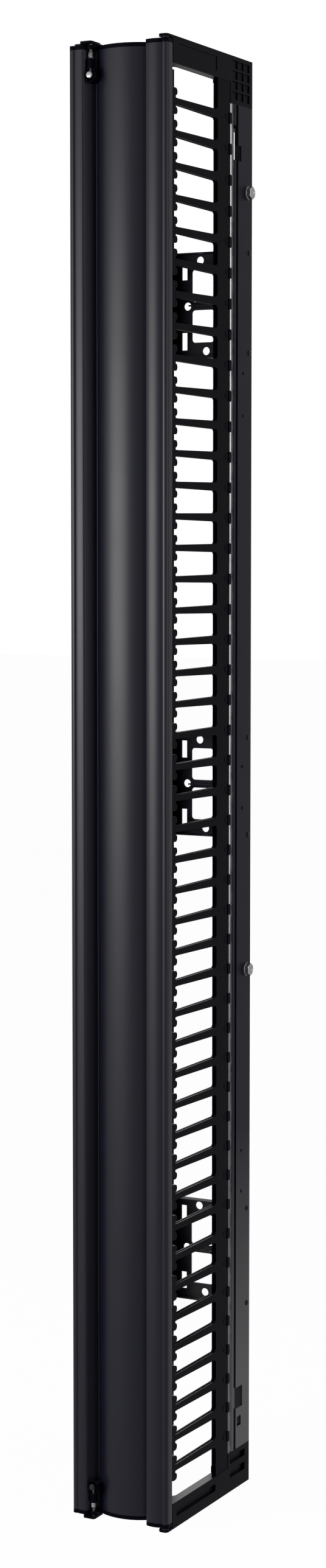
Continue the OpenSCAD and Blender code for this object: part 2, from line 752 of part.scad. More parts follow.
plate_r1 = bulge_r - door_t - 0.1;
plate_r0 = plate_r1 - 3;
plate_a = 25;
panel_screw_a = 13;
panel_screw_r = 1.5;
panel_head_h = 1.2;
panel_head_gap = 0.2;       // keeps a flat head clear of the hollow plate
panel_skin = 1.2;           // wall left in front of a screw's tip
splice_zs = [mid_z - 0.3 * splice_h, mid_z + 0.3 * splice_h];
tab_h = 14;

module panel_screw(a, z) {
    head_r = plate_r0 - panel_head_gap;
    bulge_rod(a, z, panel_screw_r, head_r - eps, bulge_r - panel_skin);
    bulge_rod(a, z, 2.2 * panel_screw_r, head_r - panel_head_h, head_r);
}

module door_panel_upper() {
    color(black) placed() difference() {
        door_slab(mid_z, panel_z1);
        for (s = [-1, 1], z = [splice_zs[1], panel_z1 - tab_h / 2])
            bulge_rod(s * panel_screw_a, z, panel_screw_r + hole_clear, plate_r0,
                bulge_r - panel_skin + hole_clear);
    }
}

module door_panel_lower() {
    color(black) placed() difference() {
        door_slab(panel_z0, mid_z);
        for (s = [-1, 1], z = [splice_zs[0], panel_z0 + tab_h / 2])
            bulge_rod(s * panel_screw_a, z, panel_screw_r + hole_clear, plate_r0,
                bulge_r - panel_skin + hole_clear);
    }
}

module door_splice() {
    color(black) placed() difference() {
        translate([0, 0, mid_z - splice_h / 2]) linear_extrude(splice_h)
            bulge_plate(plate_r0, plate_r1, plate_a);
        for (s = [-1, 1], z = splice_zs)
            bulge_rod(s * panel_screw_a, z, panel_screw_r + hole_clear, plate_r0 - 2, bulge_r);
    }
}

module splice_screws() {
    color(steel) placed()
        for (s = [-1, 1], z = splice_zs) panel_screw(s * panel_screw_a, z);
}

module door_cap_plan() {
    back = valley_y + valley_r + 2.5;
    inset = half_w - bead_r - 7;
    polygon(concat([[-half_w, return_d], for (p = door_line(0)) p, [half_w, return_d],
        [inset, return_d], [inset, back], [-inset, back], [-inset, return_d]]));
    // lug in front of the groove that guides the latch pin
    translate([latch_x, latch_y]) circle(2 * latch_pin_r);
    translate([latch_x - 2 * latch_pin_r, latch_y])
        square([4 * latch_pin_r, valley_y + valley_r + 1 - latch_y]);
}

// The top end piece; the bottom one is the same upside down.
module door_cap() {
    difference() {
        union() {
            translate([0, 0, panel_z1]) linear_extrude(door_cap_t) door_cap_plan();
            translate([0, 0, panel_z1 - tab_h]) linear_extrude(tab_h + 1)
                bulge_plate(plate_r0, plate_r1, plate_a);
        }
        translate([latch_x, latch_y, panel_z1 - eps])
            cylinder(r = latch_pin_r + run_clear, h = door_cap_t + 2 * eps);
        translate([hinge_x, hinge_y, panel_z1 - eps])
            cylinder(r = bush_r + 0.02, h = door_cap_t + 2 * eps);
        for (s = [-1, 1])
            bulge_rod(s * panel_screw_a, panel_z1 - tab_h / 2, panel_screw_r + hole_clear,
                plate_r0 - 2, bulge_r);
    }
}

module door_cap_top() {
    color(soft_black) placed() door_cap();
}

module door_cap_bottom() {
    color(soft_black) placed() at_bottom() door_cap();
}

module door_cap_screws() {
    color(steel) placed()
        for (s = [-1, 1], z = [panel_z0 + tab_h / 2, panel_z1 - tab_h / 2])
            panel_screw(s * panel_screw_a, z);
}

// ---------------------------------------------------------------- hinge

module hinge_pin() {
    translate([hinge_x, hinge_y, panel_z1 - 4]) cylinder(r = hinge_pin_r, h = body_h - 0.3 - panel_z1 + 4);
}

module hinge_bush() {
    translate([hinge_x, hinge_y, panel_z1]) difference() {
        cylinder(r = bush_r, h = door_cap_t);
        translate([0, 0, -eps]) cylinder(r = hinge_pin_r + run_clear, h = door_cap_t + 2 * eps);
    }
}

module hinge_washer() {
    t = door_end_gap - 0.6;
    translate([hinge_x, hinge_y, body_h - ear_t - 0.1 - t]) difference() {
        cylinder(r = bead_r - 0.5, h = t);
        translate([0, 0, -eps]) cylinder(r = hinge_pin_r + hole_clear, h = t + 2 * eps);
    }
}

module hinge_pin_top() {
    color(soft_black) placed() hinge_pin();
}

module hinge_pin_bottom() {
    color(soft_black) placed() at_bottom() hinge_pin();
}

module hinge_bush_top() {
    color(nylon) placed() hinge_bush();
}

module hinge_bush_bottom() {
    color(nylon) placed() at_bottom() hinge_bush();
}

module hinge_washers() {
    color(nylon) placed() {
        hinge_washer();
        at_bottom() hinge_washer();
    }
}

// ---------------------------------------------------------------- latch

housing_r = recess_r + 1.4;
housing_y0 = 3;
housing_y1 = 20;
boss_z1 = knob_z + 23;
collar_t = 1.3;
collar_z1 = panel_z1 - latch_travel - 0.4;
spring_z0 = boss_z1 + 0.1;
spring_z1 = collar_z1 - collar_t - 0.1;

module latch_housing() {
    difference() {
        union() {
            rod_y(latch_x, knob_z, housing_r, housing_y0, housing_y1);
            translate([latch_x, latch_y, knob_z + 5]) cylinder(r = latch_guide_r, h = boss_z1 - knob_z - 5);
        }
        rod_y(latch_x, knob_z, recess_r, housing_y0 - 1, housing_y1 - 3);
        translate([latch_x, latch_y, knob_z]) cylinder(r = latch_pin_r + run_clear, h = boss_z1 - knob_z + 1);
        translate([0, 0, knob_z - 2 * recess_r]) linear_extrude(4 * recess_r)
            behind_door(near_clear, housing_y1 + 10);
    }
}

module latch_pin() {
    difference() {
        union() {
            translate([latch_x, latch_y, knob_z - 4]) cylinder(r = latch_pin_r, h = latch_top - knob_z + 4);
            translate([latch_x, latch_y, collar_z1 - collar_t])
                cylinder(r = latch_guide_r - 0.6, h = collar_t);
        }
        rod_y(latch_x, knob_z, knob_stem_r + 0.02, 0, housing_y1);
    }
}

module latch_knob() {
    rod_y(latch_x, knob_z, knob_r, 1, latch_y - latch_pin_r - 0.15);
    rod_y(latch_x, knob_z, knob_stem_r, 1, latch_y + latch_pin_r);
}

// A coil of round wire round the pin, as one closed skin.
module latch_spring() {
    turns = 3;
    steps = 12;
    sides = 8;
    wire = 0.4;
    coil = latch_pin_r + 0.9;
    n = turns * steps;
    rise = spring_z1 - spring_z0 - 2 * wire;
    points = [for (i = [0 : n], j = [0 : sides - 1])
        let (a = 360 * i / steps, b = 360 * j / sides, r = coil + wire * cos(b))
        [latch_x + r * cos(a), latch_y + r * sin(a), spring_z0 + wire + rise * i / n + wire * sin(b)]];
    faces = concat(
        [[for (j = [0 : sides - 1]) j]],
        [for (i = [0 : n - 1], j = [0 : sides - 1])
            [i * sides + j, (i + 1) * sides + j, (i + 1) * sides + (j + 1) % sides,
                i * sides + (j + 1) % sides]],
        [[for (j = [sides - 1 : -1 : 0]) n * sides + j]]);
    polyhedron(points, faces);
}

module latch_housing_top() {
    color(soft_black) placed() latch_housing();
}

module latch_housing_bottom() {
    color(soft_black) placed() at_bottom() latch_housing();
}

module latch_spring_top() {
    color(steel) placed() latch_spring();
}

module latch_spring_bottom() {
    color(steel) placed() at_bottom() latch_spring();
}

module latch_pin_top() {
    color(soft_black) placed() latch_pin();
}

module latch_pin_bottom() {
    color(soft_black) placed() at_bottom() latch_pin();
}

module latch_knob_top() {
    color(steel) placed() latch_knob();
}

module latch_knob_bottom() {
    color(soft_black) placed() at_bottom() latch_knob();
}

// ---------------------------------------------------------------- selection

rail_right();
rail_left();
cross_bracket_upper();
cross_bracket_middle();
cross_bracket_lower();
bracket_screws();
top_cap();
bottom_cap();
cap_screws();
finger_strip_right_upper();
finger_strip_right_middle();
finger_strip_right_lower();
finger_strip_left_upper();
finger_strip_left_middle();
finger_strip_left_lower();
strip_screws();
mounting_bolts();
mounting_washers();
mounting_nuts();
hinge_pin_top();
hinge_pin_bottom();
hinge_washers();
door_panel_upper();
door_panel_lower();
door_splice();
splice_screws();
door_cap_top();
door_cap_bottom();
door_cap_screws();
hinge_bush_top();
hinge_bush_bottom();
latch_housing_top();
latch_housing_bottom();
latch_spring_top();
latch_spring_bottom();
latch_pin_top();
latch_knob_top();
latch_pin_bottom();
latch_knob_bottom();
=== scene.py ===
import json
import math

import bmesh
import bpy
from mathutils import Matrix, Vector


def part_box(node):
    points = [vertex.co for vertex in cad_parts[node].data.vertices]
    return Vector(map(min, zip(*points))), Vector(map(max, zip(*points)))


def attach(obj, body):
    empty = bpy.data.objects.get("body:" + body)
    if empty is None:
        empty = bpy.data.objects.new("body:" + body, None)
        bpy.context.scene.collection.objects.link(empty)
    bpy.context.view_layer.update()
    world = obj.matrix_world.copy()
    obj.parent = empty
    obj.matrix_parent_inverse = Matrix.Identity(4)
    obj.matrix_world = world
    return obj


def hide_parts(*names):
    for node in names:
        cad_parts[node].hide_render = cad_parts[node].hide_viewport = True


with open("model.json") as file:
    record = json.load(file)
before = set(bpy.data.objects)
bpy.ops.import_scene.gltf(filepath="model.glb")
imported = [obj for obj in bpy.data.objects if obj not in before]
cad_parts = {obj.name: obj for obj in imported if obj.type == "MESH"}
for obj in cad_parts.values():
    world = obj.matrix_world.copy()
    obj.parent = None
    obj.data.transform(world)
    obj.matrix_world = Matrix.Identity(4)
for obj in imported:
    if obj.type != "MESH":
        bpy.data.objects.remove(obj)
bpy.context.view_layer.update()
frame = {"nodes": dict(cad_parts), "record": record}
scene = bpy.context.scene
MM = 0.001
MERGE = 0.004 * MM      # corners closer than this are one
DIGITS = 7              # of a length in metres, where equal lengths have to compare as equal
SMOOTH_ANGLE = 32       # degrees: sheet metal and mouldings are smooth up to this turn, and crisp beyond it


# ------------------------------------------------------------------ shader groups

TONE_LOW, TONE_SPAN = 0.75, 0.5     # the darkest tone of a surface, and how far its noise can lift it


def new_group(name, inputs, outputs):
    """An empty shader group with named number sockets: inputs are (name, value), outputs are names."""
    group = bpy.data.node_groups.new(name, "ShaderNodeTree")
    for label, value in inputs:
        socket = group.interface.new_socket(label, in_out="INPUT", socket_type="NodeSocketFloat")
        socket.default_value = value
    for label in outputs:
        group.interface.new_socket(label, in_out="OUTPUT", socket_type="NodeSocketFloat")
    return group, group.nodes.new("NodeGroupInput"), group.nodes.new("NodeGroupOutput")


def maths(tree, operation, a, b=None, clamp=False):
    """The result of a Math node; a and b are sockets or numbers."""
    node = tree.nodes.new("ShaderNodeMath")
    node.operation = operation
    node.use_clamp = clamp
    for slot, value in zip(node.inputs, (a, b)):
        if value is None:
            continue
        if isinstance(value, (int, float)):
            slot.default_value = value
        else:
            tree.links.new(value, slot)
    return node.outputs[0]


def noise(tree, scale, detail, stretch=None):
    """Noise over the piece's own coordinates. scale is a number or a socket."""
    where = tree.nodes.new("ShaderNodeTexCoord").outputs["Object"]
    if stretch:
        mapping = tree.nodes.new("ShaderNodeMapping")
        mapping.inputs["Scale"].default_value = stretch
        tree.links.new(where, mapping.inputs["Vector"])
        where = mapping.outputs["Vector"]
    node = tree.nodes.new("ShaderNodeTexNoise")
    node.inputs["Detail"].default_value = detail
    tree.links.new(where, node.inputs["Vector"])
    if isinstance(scale, (int, float)):
        node.inputs["Scale"].default_value = scale
    else:
        tree.links.new(scale, node.inputs["Scale"])
    return node.outputs["Fac"]


def surface_group(name, inputs):
    """A group for a whole surface: a height for its bump, a roughness and a tone over its colour."""
    return new_group(name, inputs, ("Height", "Roughness", "Tone"))


def surface_results(group, result, height, rough, tone):
    """Hands the three sockets of a surface group to its outputs."""
    for label, socket in (("Height", height), ("Roughness", rough), ("Tone", tone)):
        group.links.new(socket, result.inputs[label])
    return group


def weighted(tree, base, value, weight):
    """base + value * weight."""
    return maths(tree, "ADD", base, maths(tree, "MULTIPLY", value, weight))


def centred(tree, value):
    """A noise value moved to swing about 0."""
    return maths(tree, "SUBTRACT", value, 0.5)


def drifting_tone(tree, value):
    """A tone between TONE_LOW and TONE_LOW + TONE_SPAN."""
    return maths(tree, "ADD", maths(tree, "MULTIPLY", value, TONE_SPAN), TONE_LOW)


def powder_coat_group():
    """Orange peel of baked powder paint, with slow drifts of gloss."""
    fine_ratio, fine_share = 3.1, 0.35
    drift_scale, tone_scale = 9.0, 26.0
    group, given, result = surface_group(
        "powder_coat", [("Peel Scale", 420.0), ("Gloss", 0.4), ("Gloss Drift", 0.05)])
    peel = noise(group, given.outputs["Peel Scale"], detail=2.0)
    fine_scale = maths(group, "MULTIPLY", given.outputs["Peel Scale"], fine_ratio)
    fine = noise(group, fine_scale, detail=1.0)
    height = weighted(group, peel, fine, fine_share)
    drift = centred(group, noise(group, drift_scale, detail=3.0))
    rough = weighted(group, given.outputs["Gloss"], drift, given.outputs["Gloss Drift"])
    tone = drifting_tone(group, noise(group, tone_scale, detail=4.0))
    return surface_results(group, result, height, rough, tone)


def moulded_group():
    """Spark-eroded texture of a moulded plastic, with faint flow lines along the piece."""
    flow_scale, along_y = 40.0, (6.0, 0.5, 6.0)
    grain_in_gloss = 0.12
    group, given, result = surface_group(
        "moulded_grain", [("Grain Scale", 1500.0), ("Flow", 0.3), ("Matt", 0.5)])
    grain = noise(group, given.outputs["Grain Scale"], detail=3.0)
    flow = noise(group, flow_scale, detail=2.0, stretch=along_y)
    height = weighted(group, grain, flow, given.outputs["Flow"])
    rough = weighted(group, given.outputs["Matt"], centred(group, grain), grain_in_gloss)
    return surface_results(group, result, height, rough, drifting_tone(group, flow))


def bright_metal_group():
    """Plated or ground steel: fine lines one way and a mottled, slightly cloudy film."""
    film_scale, along_x = 180.0, (0.08, 1.0, 1.0)
    group, given, result = surface_group(
        "bright_metal", [("Lines", 900.0), ("Polish", 0.25), ("Film", 0.15)])
    lines = noise(group, given.outputs["Lines"], detail=2.0, stretch=along_x)
    cloud = noise(group, film_scale, detail=4.0)
    film = maths(group, "MULTIPLY", cloud, given.outputs["Film"])
    rough = maths(group, "ADD", given.outputs["Polish"], film)
    return surface_results(group, result, lines, rough, maths(group, "SUBTRACT", 1.0, film))


def front_gloss_and_painted_sheen_group():
    """A clear coat mask: 1 on the front of a piece, which is made glossier, and a part of that near the
    floor, where it is a painted sheen standing in for the reflection of the bright floor.
    """
    wander_scale, growth = 60.0, 0.7
    group, given, result = new_group(
        "front_gloss_painted_floor_sheen", [("Depth", 0.0), ("Fade", 0.002), ("Height", 0.5), ("Low Share", 0.5)],
        ("Front", "Mask"))
    where = group.nodes.new("ShaderNodeSeparateXYZ")
    coordinates = group.nodes.new("ShaderNodeTexCoord").outputs["Object"]
    group.links.new(coordinates, where.inputs["Vector"])
    before = maths(group, "SUBTRACT", given.outputs["Depth"], where.outputs["Y"])
    wander = centred(group, noise(group, wander_scale, detail=3.0))
    edge = weighted(group, before, wander, given.outputs["Fade"])
    front = maths(group, "DIVIDE", edge, given.outputs["Fade"], clamp=True)
    below = maths(group, "SUBTRACT", given.outputs["Height"], where.outputs["Z"])
    rise = maths(group, "MULTIPLY", given.outputs["Height"], growth)
    low = maths(group, "DIVIDE", below, rise, clamp=True)
    low = maths(group, "MULTIPLY", low, given.outputs["Low Share"])
    group.links.new(front, result.inputs["Front"])
    group.links.new(maths(group, "MAXIMUM", front, low), result.inputs["Mask"])
    return group


def upward_group():
    """1 on the faces that look up, where a painted sheen stands in for the reflection of light from above,
    and 0 on steep faces.
    """
    group, given, result = new_group("upward_faces", [("Start", 0.5), ("Range", 0.35)], ("Mask",))
    facing = group.nodes.new("ShaderNodeSeparateXYZ")
    normal = group.nodes.new("ShaderNodeNewGeometry").outputs["Normal"]
    group.links.new(normal, facing.inputs["Vector"])
    above = maths(group, "SUBTRACT", facing.outputs["Z"], given.outputs["Start"])
    mask = maths(group, "DIVIDE", above, given.outputs["Range"], clamp=True)
    group.links.new(mask, result.inputs["Mask"])
    return group


POWDER = powder_coat_group()
MOULDED = moulded_group()
BRIGHT = bright_metal_group()
FRONT_GLOSS_AND_PAINTED_SHEEN = front_gloss_and_painted_sheen_group()
UPWARD = upward_group()


def add_effect(tree, group, settings):
    """A node of a shared group in a material, with its settings."""
    effect = tree.nodes.new("ShaderNodeGroup")
    effect.node_tree = group
    for label, value in settings.items():
        effect.inputs[label].default_value = value
    return effect


def finish(name, group, settings, colour, bump, bump_mm, **sockets):
    """A material: the group's tone over a colour, its roughness, and its height as a bump."""
    material = bpy.data.materials.new(name)
    material.use_nodes = True
    tree = material.node_tree
    shader = tree.nodes["Principled BSDF"]
    effect = add_effect(tree, group, settings)
    tint = tree.nodes.new("ShaderNodeMix")
    tint.data_type = "RGBA"
    tint.blend_type = "MULTIPLY"
    tint.inputs["Factor"].default_value = 1.0
    tint.inputs["A"].default_value = (*colour, 1)
    tree.links.new(effect.outputs["Tone"], tint.inputs["B"])
    tree.links.new(tint.outputs["Result"], shader.inputs["Base Color"])
    tree.links.new(effect.outputs["Roughness"], shader.inputs["Roughness"])
    relief = tree.nodes.new("ShaderNodeBump")
    relief.inputs["Strength"].default_value = bump
    relief.inputs["Distance"].default_value = bump_mm * MM
    tree.links.new(effect.outputs["Height"], relief.inputs["Height"])
    tree.links.new(relief.outputs["Normal"], shader.inputs["Normal"])
    for label, value in sockets.items():
        shader.inputs[label.replace("_", " ")].default_value = value
    return material


door_paint = finish("door_paint", POWDER, {"Peel Scale": 300.0, "Gloss": 0.40, "Gloss Drift": 0.05},
                    (0.0016, 0.0018, 0.0056), bump=0.10, bump_mm=0.05, Specular_IOR_Level=0.18)
upright_paint = finish("upright_paint", POWDER, {"Peel Scale": 520.0, "Gloss": 0.44, "Gloss Drift": 0.06},
                       (0.0036, 0.0038, 0.0090), bump=0.16, bump_mm=0.06, Specular_IOR_Level=0.05)
finger_plastic = finish("finger_plastic", MOULDED, {"Grain Scale": 1600.0, "Flow": 0.3, "Matt": 0.38},
                        (0.0010, 0.0010, 0.0028), bump=0.2, bump_mm=0.04, Specular_IOR_Level=0.012)
end_plastic = finish("end_plastic", MOULDED, {"Grain Scale": 1300.0, "Flow": 0.35, "Matt": 0.34},
                     (0.0012, 0.0012, 0.0030), bump=0.2, bump_mm=0.04, Specular_IOR_Level=0.014)
dark_steel = finish("dark_steel", POWDER, {"Peel Scale": 900.0, "Gloss": 0.42, "Gloss Drift": 0.08},
                    (0.008, 0.008, 0.009), bump=0.15, bump_mm=0.03, Specular_IOR_Level=0.12)
zinc = finish("black_zinc", BRIGHT, {"Lines": 700.0, "Polish": 0.3, "Film": 0.2},
              (0.28, 0.28, 0.28), bump=0.12, bump_mm=0.02, Metallic=1.0)
ground_steel = finish("ground_steel", BRIGHT, {"Lines": 1400.0, "Polish": 0.2, "Film": 0.12},
                      (0.07, 0.07, 0.072), bump=0.1, bump_mm=0.02, Metallic=1.0)
chrome = finish("chrome", BRIGHT, {"Lines": 1000.0, "Polish": 0.22, "Film": 0.06},
                (0.30, 0.30, 0.31), bump=0.04, bump_mm=0.01, Metallic=1.0)
spring_wire = finish("spring_wire", BRIGHT, {"Lines": 2200.0, "Polish": 0.3, "Film": 0.15},
                     (0.50, 0.50, 0.50), bump=0.1, bump_mm=0.02, Metallic=1.0)
nylon = finish("nylon", MOULDED, {"Grain Scale": 900.0, "Flow": 0.2, "Matt": 0.45},
               (0.012, 0.012, 0.013), bump=0.1, bump_mm=0.02, Specular_IOR_Level=0.1)


def gloss_front_paint_floor_sheen(material, depth_mm, fade_mm, height_mm, low_share):
    """Gives a material a glossier clear coat on the front of its pieces, up to a depth, and below a height a
    painted sheen that stands in for the reflection of the bright floor.
    """
    front_roughness_drop, shine_roughness, shine_ior = 0.2, 0.26, 2.0
    tree = material.node_tree
    shader = tree.nodes["Principled BSDF"]
    rough = shader.inputs["Roughness"]
    effect = add_effect(tree, FRONT_GLOSS_AND_PAINTED_SHEEN, {"Depth": depth_mm * MM, "Fade": fade_mm * MM,
                                       "Height": height_mm * MM, "Low Share": low_share})
    drop = maths(tree, "MULTIPLY", effect.outputs["Front"], front_roughness_drop)
    tree.links.new(maths(tree, "SUBTRACT", rough.links[0].from_socket, drop), rough)
    tree.links.new(effect.outputs["Mask"], shader.inputs["Coat Weight"])
    shader.inputs["Coat Roughness"].default_value = shine_roughness
    shader.inputs["Coat IOR"].default_value = shine_ior


def painted_top_sheen(material, shine, roughness):
    """A painted sheen on the upward faces of a moulded plastic: a clear coat there stands in for the
    reflection of light from above.
    """
    tree = material.node_tree
    shader = tree.nodes["Principled BSDF"]
    mask = add_effect(tree, UPWARD, {}).outputs["Mask"]
    tree.links.new(maths(tree, "MULTIPLY", mask, shine), shader.inputs["Coat Weight"])
    shader.inputs["Coat Roughness"].default_value = roughness


# Painted sheen: the upward faces of the fingers and end frames get a clear coat that stands in for light
# reflected from above.
painted_top_sheen(finger_plastic, shine=0.6, roughness=0.3)
painted_top_sheen(end_plastic, shine=0.9, roughness=0.25)
UPRIGHT_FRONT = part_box("rail_right")[0][1] / MM
BULLNOSE_DEPTH = 11
# The uprights' front is glossier. Their lower part gets a painted sheen, a painted reflection of the bright
# floor.
gloss_front_paint_floor_sheen(upright_paint, depth_mm=UPRIGHT_FRONT + BULLNOSE_DEPTH, fade_mm=5, height_mm=560, low_share=0.34)

FINISHES = {"upright_black": upright_paint, "door_black": door_paint, "dark_screw": dark_steel,
            "finger_black": finger_plastic, "end_black": end_plastic, "nylon": nylon,
            "knob_chrome": chrome, "spring_steel": spring_wire, "pin_steel": ground_steel, "zinc": zinc}
SLOT_OF = {s["node"]: s["material_slot"] for s in frame["record"]["subparts"]}
BODY_OF = {node: body for body, nodes in frame["record"]["behaviour"]["bodies"].items() for node in nodes}


def wear(obj, slot):
    """Gives a piece or a CAD node the finish of one of the record's slots."""
    obj.data.materials.clear()
    obj.data.materials.append(FINISHES[slot])


for node, obj in frame["nodes"].items():
    wear(obj, SLOT_OF[node])


# ------------------------------------------------------------------ working on meshes

def only(obj):
    """Makes obj the one selected, active object."""
    if bpy.context.mode != "OBJECT":
        bpy.ops.object.mode_set(mode="OBJECT")
    bpy.ops.object.select_all(action="DESELECT")
    obj.select_set(True)
    bpy.context.view_layer.objects.active = obj


def apply_bevel(obj, width_mm):
    """Rounds every sharp edge, and keeps the flat faces beside it shaded flat."""
    sharp_angle = 35
    only(obj)
    bevel = obj.modifiers.new("edge_rounding", "BEVEL")
    bevel.width = width_mm * MM
    bevel.segments = 2
    bevel.limit_method = "ANGLE"
    bevel.angle_limit = math.radians(sharp_angle)
    bevel.miter_outer = "MITER_ARC"
    bevel.harden_normals = True
    bpy.ops.object.modifier_apply(modifier=bevel.name)


def smooth(obj, angle=SMOOTH_ANGLE):
    """Shades obj smooth, but crisp where its faces turn by more than angle degrees."""
    only(obj)
    bpy.ops.object.shade_smooth_by_angle(angle=math.radians(angle))


def hand_over(obj, node):
    """obj stands for a CAD node, with its finish, and moves with its body."""
    wear(obj, SLOT_OF[node])
    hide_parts(node)
    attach(obj, BODY_OF[node])


def merged_copy(node, name, flatten):
    """A copy of a CAD node with its corners merged; where flatten is set, its triangles join into faces."""
    flat_angle = 0.3
    obj = bpy.data.objects.new(name, frame["nodes"][node].data.copy())
    scene.collection.objects.link(obj)
    only(obj)
    bpy.ops.object.mode_set(mode="EDIT")
    bpy.ops.mesh.select_all(action="SELECT")
    bpy.ops.mesh.remove_doubles(threshold=MERGE)
    bpy.ops.mesh.customdata_custom_splitnormals_clear()
    if flatten:
        bpy.ops.mesh.dissolve_limited(angle_limit=math.radians(flat_angle))
    bpy.ops.object.mode_set(mode="OBJECT")
    return obj


def smoothed(node, name):
    """A piece that is smooth on its curves and crisp at its cut edges."""
    obj = merged_copy(node, name, flatten=False)
    smooth(obj)
    hand_over(obj, node)


def rounded(node, name, width_mm):
    """A moulded piece: every edge has a small radius."""
    obj = merged_copy(node, name, flatten=True)
    smooth(obj)
    apply_bevel(obj, width_mm)
    hand_over(obj, node)


def edit(obj):
    """Opens obj in edit mode with nothing selected, and gives its mesh for picking."""
    only(obj)
    bpy.ops.object.mode_set(mode="EDIT")
    bpy.ops.mesh.select_mode(type="FACE")
    bpy.ops.mesh.select_all(action="DESELECT")
    mesh = bmesh.from_edit_mesh(obj.data)
    mesh.faces.ensure_lookup_table()
    return mesh


def close():
    """Leaves edit mode, with every face turned outwards."""
    bpy.ops.mesh.select_all(action="SELECT")
    bpy.ops.mesh.normals_make_consistent(inside=False)
    bpy.ops.object.mode_set(mode="OBJECT")


def pick_top(obj, mesh):
    """Selects the face at the top end."""
    top = max(mesh.faces, key=lambda face: (round(face.calc_center_median().z, DIGITS), face.calc_area()))
    top.select_set(True)
    bmesh.update_edit_mesh(obj.data)


def draw_out(rise, scale):
    """Extrudes the selected face by rise, and scales its new end about its middle."""
    bpy.ops.mesh.extrude_region_move(TRANSFORM_OT_translate={"value": (0, 0, rise)})
    bpy.ops.transform.resize(value=(scale, scale, 1))


def outline(shares, radius, height):
    """The profile of a head from its shares of the radius and of the height."""
    return [(across * radius, up * height) for across, up in shares]


def turned(name, profile, sides):
    """A turned piece along Z, left open for editing. Its profile is (radius, height), lowest point first."""
    (radius, low), (next_radius, height) = profile[:2]
    bpy.ops.object.select_all(action="DESELECT")
    bpy.ops.mesh.primitive_cone_add(vertices=sides, radius1=radius, radius2=next_radius,
                                    depth=height - low, location=(0, 0, (height + low) / 2))
    obj = bpy.context.object
    obj.name = name
    bpy.ops.object.transform_apply(location=True, rotation=True, scale=True)
    pick_top(obj, edit(obj))
    last = next_radius
    for radius, level in profile[2:]:
        draw_out(level - height, radius / last)
        last, height = radius, level
    return obj


def joined(name, objs):
    """One object from several."""
    bpy.ops.object.select_all(action="DESELECT")
    for obj in objs:
        obj.select_set(True)
    bpy.context.view_layer.objects.active = objs[0]
    bpy.ops.object.join()
    objs[0].name = name
    return objs[0]


# ------------------------------------------------------------------ fastenings

class Seat:
    """Where a small turned solid sits: a place whose Z leaves its widest flat end, and its sizes."""

    def __init__(self, verts, faces):
        rim_share, tip_depth = 0.8, 0.01 * MM
        ends = {}
        for face in faces:
            tilt = (round(v, 2) for v in face.normal)
            key = (*tilt, round(face.normal.dot(face.verts[0].co), 5))
            ends.setdefault(key, []).append(face)
        end = max(ends.values(), key=lambda group: sum(face.calc_area() for face in group))
        axis = end[0].normal.normalized()
        rim = sorted({v for face in end for v in face.verts}, key=lambda v: v.index)
        middle = sum((v.co for v in rim), Vector()) / len(rim)
        corner = max(rim, key=lambda v: round((v.co - middle).length, DIGITS))
        across = (corner.co - middle).normalized()
        self.radius = (corner.co - middle).length
        self.bore = min((v.co - middle).length for v in rim)
        depths = [(middle - v.co).dot(axis) for v in verts]
        widths = [((v.co - middle) - axis * (v.co - middle).dot(axis)).length for v in verts]
        self.length = max(depths)
        self.head = max(d for d, w in zip(depths, widths) if w > rim_share * self.radius)
        self.shank = max(w for d, w in zip(depths, widths) if d > self.length - tip_depth)
        self.place = Matrix((across, axis.cross(across), axis)).transposed().to_4x4()
        self.place.translation = middle


def seats(node):
    """A Seat for each separate solid of a CAD node."""
    mesh = bmesh.new()
    mesh.from_mesh(frame["nodes"][node].data)
    bmesh.ops.remove_doubles(mesh, verts=mesh.verts, dist=MERGE)
    mesh.normal_update()
    mesh.verts.index_update()
    mesh.faces.index_update()
    found, seen = [], set()
    for start in mesh.verts:
        if start in seen:
            continue
        seen.add(start)
        verts, queue = [], [start]
        while queue:
            vert = queue.pop()
            verts.append(vert)
            for edge in vert.link_edges:
                other = edge.other_vert(vert)
                if other not in seen:
                    seen.add(other)
                    queue.append(other)
        faces = {face for vert in verts for face in vert.link_faces}
        found.append(Seat(verts, sorted(faces, key=lambda face: face.index)))
    mesh.free()
    return found


def place_copies(template, node, name):
    """A copy of the template, with its own mesh, at each solid of a node; together they stand for it."""
    copies = []
    for seat in seats(node):
        copy = template.copy()
        copy.data = template.data.copy()
        scene.collection.objects.link(copy)
        copy.matrix_world = seat.place
        only(copy)
        bpy.ops.object.transform_apply(location=True, rotation=True, scale=True)
        copies.append(copy)
    bpy.data.objects.remove(template)
    hand_over(joined(name, copies), node)


# Heads as (share of the radius, share of the height), from the underside up. The last pair of the pan head is
# the rim of its recess.
PAN_HEAD = ((1, -1), (1, -0.45), (0.95, -0.2), (0.82, -0.04), (0.7, 0), (0.52, 0))
KNOB_HEAD = ((0.9, -1), (1, -0.92), (1, -0.66), (0.86, -0.6), (0.86, -0.48), (1, -0.42), (1, -0.2),
             (0.93, -0.1), (0.8, -0.04), (0.5, -0.01), (0.2, 0))
HEX_HALF = math.cos(math.pi / 6)    # half of a hexagon across its flats, as a share of its corner radius
HEX_FACE = 0.95                     # radius of the flat face inside the chamfer, as a share of that half
LEVEL = 0.99                        # how far the normal of a level face points along Z
TURNED_ANGLE, HEX_ANGLE, KNOB_ANGLE = 30, 26, 38


def small_screw(name, seat):
    """A pan head screw with a six-lobed recess; the head's top is at z = 0."""
    tip, tip_rise = 0.7, 0.5
    lobe, waist_start, waist_end, waist = 60, 20, 50, 0.72
    recess_depth, recess_draft = 0.55, 0.94
    head, shank = seat.head, seat.shank
    profile = [(tip * shank, -seat.length), (shank, -seat.length + tip_rise * shank), (shank, -head)]
    screw = turned(name, profile + outline(PAN_HEAD, seat.radius, head), sides=24)
    mesh = bmesh.from_edit_mesh(screw.data)
    for face in mesh.faces:
        if face.select:
            for vert in face.verts:
                turn = math.degrees(math.atan2(vert.co.y, vert.co.x)) % lobe
                if waist_start < turn < waist_end:
                    vert.co.xy *= waist
    bmesh.update_edit_mesh(screw.data)
    draw_out(-recess_depth * head, recess_draft)
    close()
    smooth(screw, TURNED_ANGLE)
    return screw


